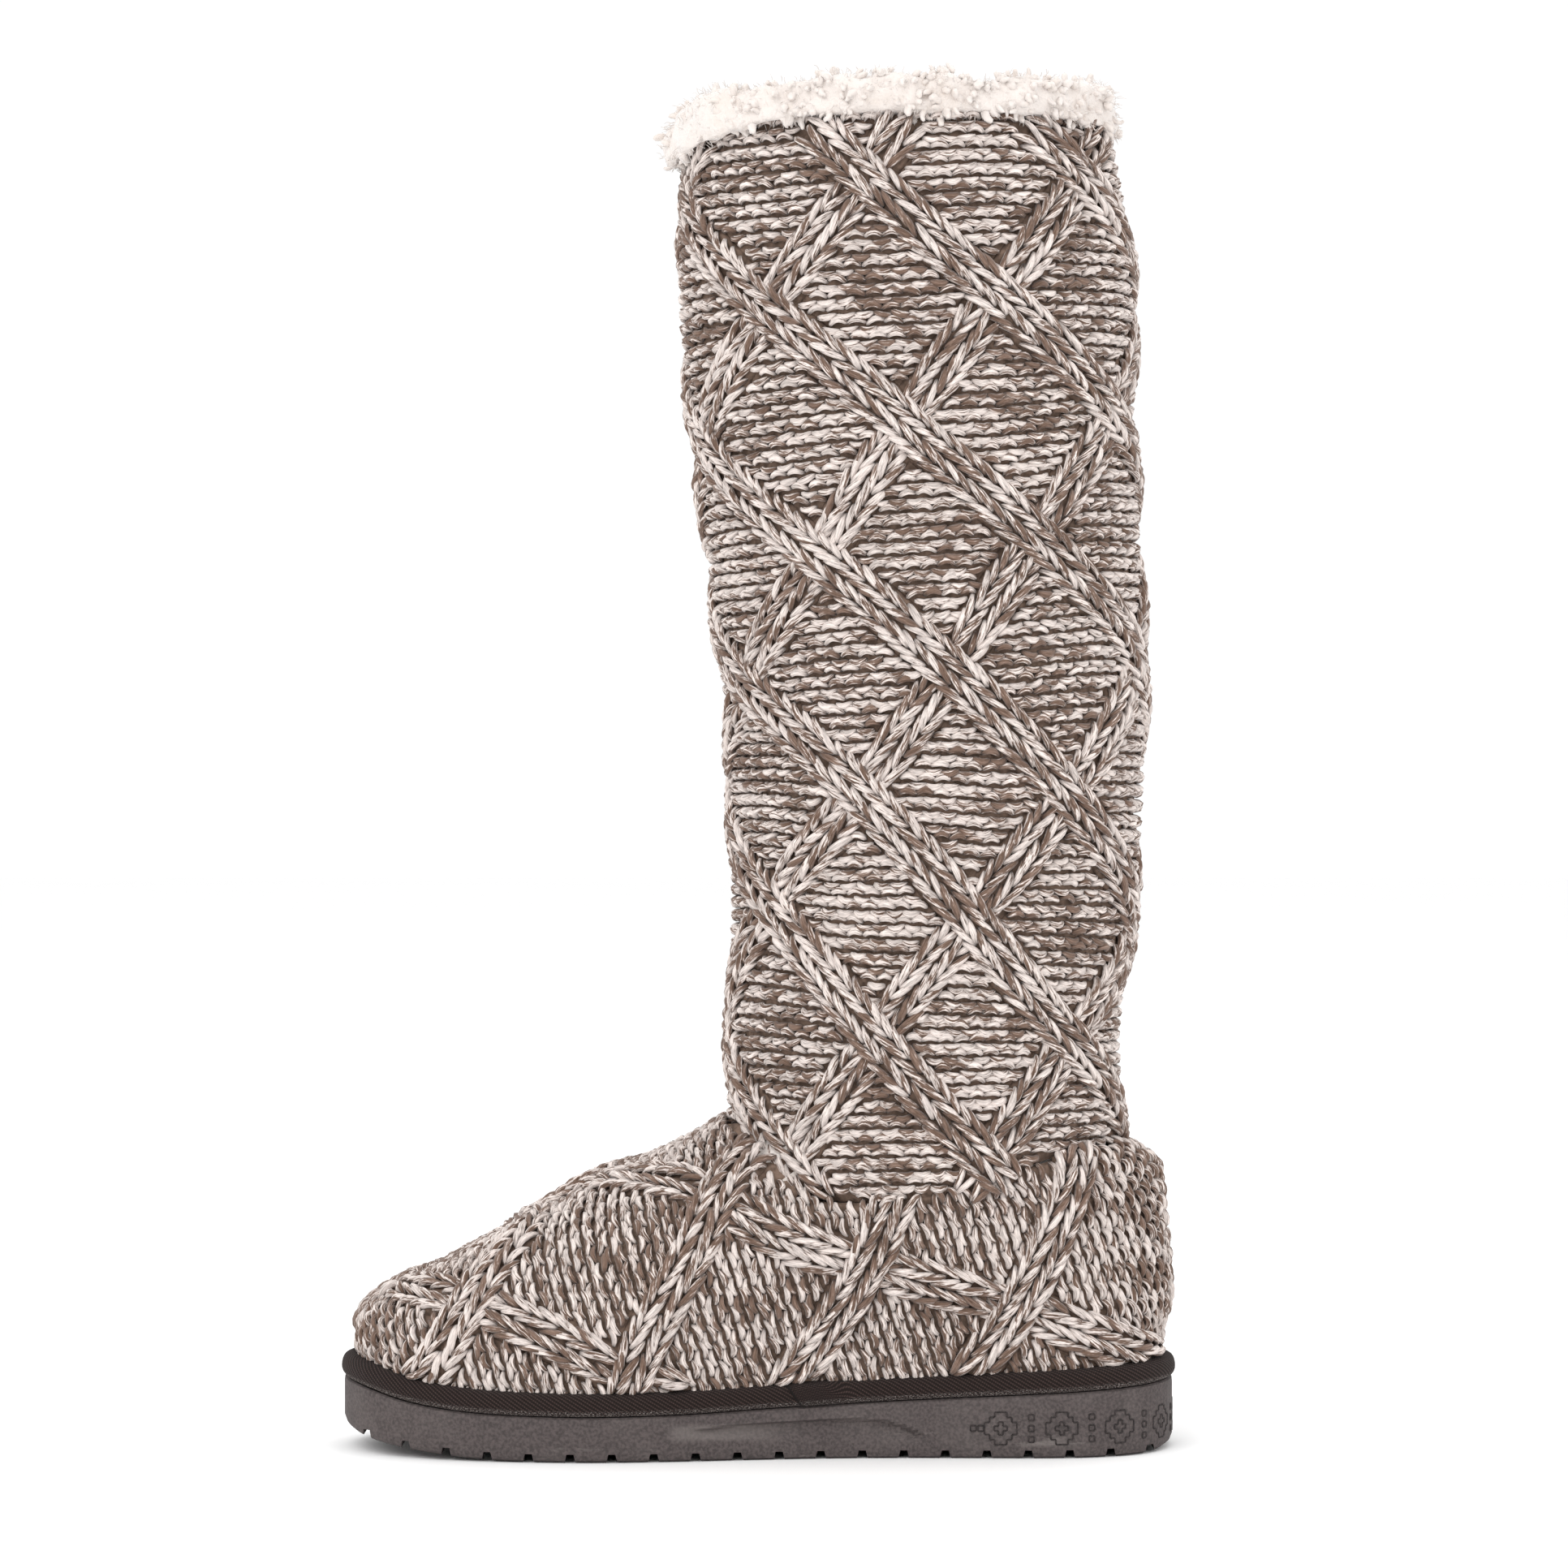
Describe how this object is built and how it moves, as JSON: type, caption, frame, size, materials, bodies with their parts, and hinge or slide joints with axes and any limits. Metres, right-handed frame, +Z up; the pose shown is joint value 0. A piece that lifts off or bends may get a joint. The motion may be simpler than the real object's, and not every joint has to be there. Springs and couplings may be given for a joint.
{
  "type": "knitted winter boot",
  "caption": "Tall cable-knit sweater boot for the right foot, with a fleece lining and cuff, a tape-bound platform and a moulded foam sole, standing empty",
  "frame": {"origin": "On the floor, under the middle of the boot's length and width", "axes": "+Z up the shaft; the toe points to -X and the heel to +X; the inner side of the foot is at -Y"},
  "size_m": [0.2738, 0.1143, 0.4502],
  "materials": {
    "sole_foam": "matt moulded foam, warm dark grey, lightly scuffed",
    "binding_tape": "twill tape, very dark brown",
    "platform_board": "fibre board, hidden under the foot",
    "footbed_pile": "short cream pile",
    "foot_knit": "marled wool-look yarn in cream and brown, purl ground with raised cables",
    "shaft_knit": "marled wool-look yarn in cream and brown, purl ground with raised cables",
    "fleece": "curly fleece, warm cream"
  },
  "bodies": {
    "root": {"outsole": "sole_foam", "binding": "binding_tape", "platform": "platform_board", "footbed": "footbed_pile", "foot_upper": "foot_knit", "shaft": "shaft_knit", "fleece_cuff": "fleece"}
  },
  "joints": []
}
